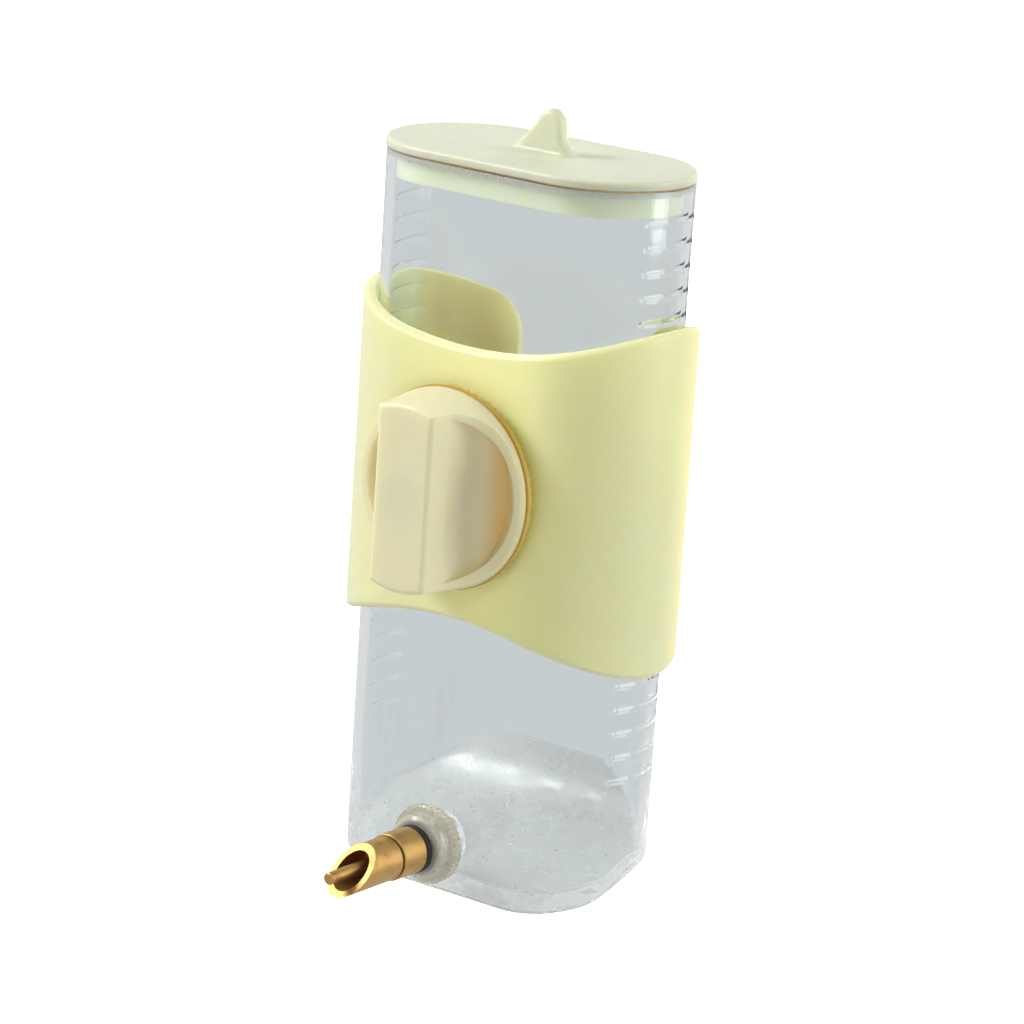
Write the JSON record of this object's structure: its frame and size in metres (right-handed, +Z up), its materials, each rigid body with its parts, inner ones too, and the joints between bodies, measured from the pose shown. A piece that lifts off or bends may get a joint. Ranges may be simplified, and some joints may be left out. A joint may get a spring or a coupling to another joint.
{
  "type": "cage water bottle",
  "caption": "Clear flat-sided animal drinking bottle with a sloping base, brass pin-valve nozzle, lift-off lid and a clip clamped to cage wires by a winged knob.",
  "frame": {"origin": "where the clamp's axis meets the front face of the clip, which is pressed against the cage wires", "axes": "+Z up along the bottle, -Y out of the front towards the cage along the stud and the nozzle, +X along the bottle's wide side"},
  "size_m": [0.0762, 0.0787, 0.1655],
  "materials": {
    "clear_plastic": "clear, polished, faintly blue-grey",
    "lid_plastic": "pale green-white moulded plastic, satin gloss",
    "seal_rubber": "amber silicone",
    "clip_plastic": "pale yellow-green translucent moulded plastic",
    "knob_plastic": "cream to peach moulded plastic, satin gloss",
    "ring_plastic": "amber moulded plastic",
    "cap_plastic": "frosted milky-clear moulded plastic",
    "steel": "zinc-plated",
    "brass": "turned brass, fine machining lines",
    "black_rubber": "matte"
  },
  "bodies": {
    "holder": {"holder_clip": "clip_plastic", "clamp_stud": "steel"},
    "pressure_ring": {"grip_ring": "ring_plastic"},
    "knob": {"clamp_knob": "knob_plastic", "knob_nut": "steel"},
    "bottle": {"bottle": "clear_plastic", "outlet_cap": "cap_plastic", "nozzle_grommet": "black_rubber", "nozzle_barrel": "brass", "spout_washer": "black_rubber", "nozzle_spout": "brass", "valve_seat_ring": "black_rubber", "valve_spring": "steel"},
    "lid": {"lid": "lid_plastic", "lid_seal": "seal_rubber"},
    "plug": {"valve_plug": "brass"},
    "pin": {"valve_pin": "brass"}
  },
  "joints": [
    {"name": "clamp_slide", "type": "slide", "parent": "holder", "child": "pressure_ring", "axis": [0, -1, 0], "range_m": [-0.00095, 0.00785]},
    {"name": "knob_turn", "type": "hinge", "parent": "pressure_ring", "child": "knob", "pos_m": [0, 0, 0], "axis": [0, -1, 0], "range_deg": [-270, 2250]},
    {"name": "bottle_slide", "type": "slide", "parent": "holder", "child": "bottle", "axis": [0, 0, 1], "range_m": [-0.09, 0.035]},
    {"name": "lid_lift", "type": "slide", "parent": "bottle", "child": "lid", "axis": [0, 0, 1], "range_m": [0, 0.04]},
    {"name": "valve_push", "type": "slide", "parent": "bottle", "child": "plug", "axis": [0, 1, 0], "range_m": [0, 0.0012], "stiffness_N_per_m": 150, "springref_m": -0.002, "deforming": ["valve_spring"]},
    {"name": "pin_tilt", "type": "hinge", "parent": "plug", "child": "pin", "pos_m": [0, -0.0128, -0.07726], "axis": [1, 0, 0], "range_deg": [-4.5, 4.5], "stiffness_Nm_per_rad": 0.02}
  ],
  "couplings": [
    {"joint": "clamp_slide", "follows": "knob_turn", "m_per_rad": 0.00019894}
  ]
}
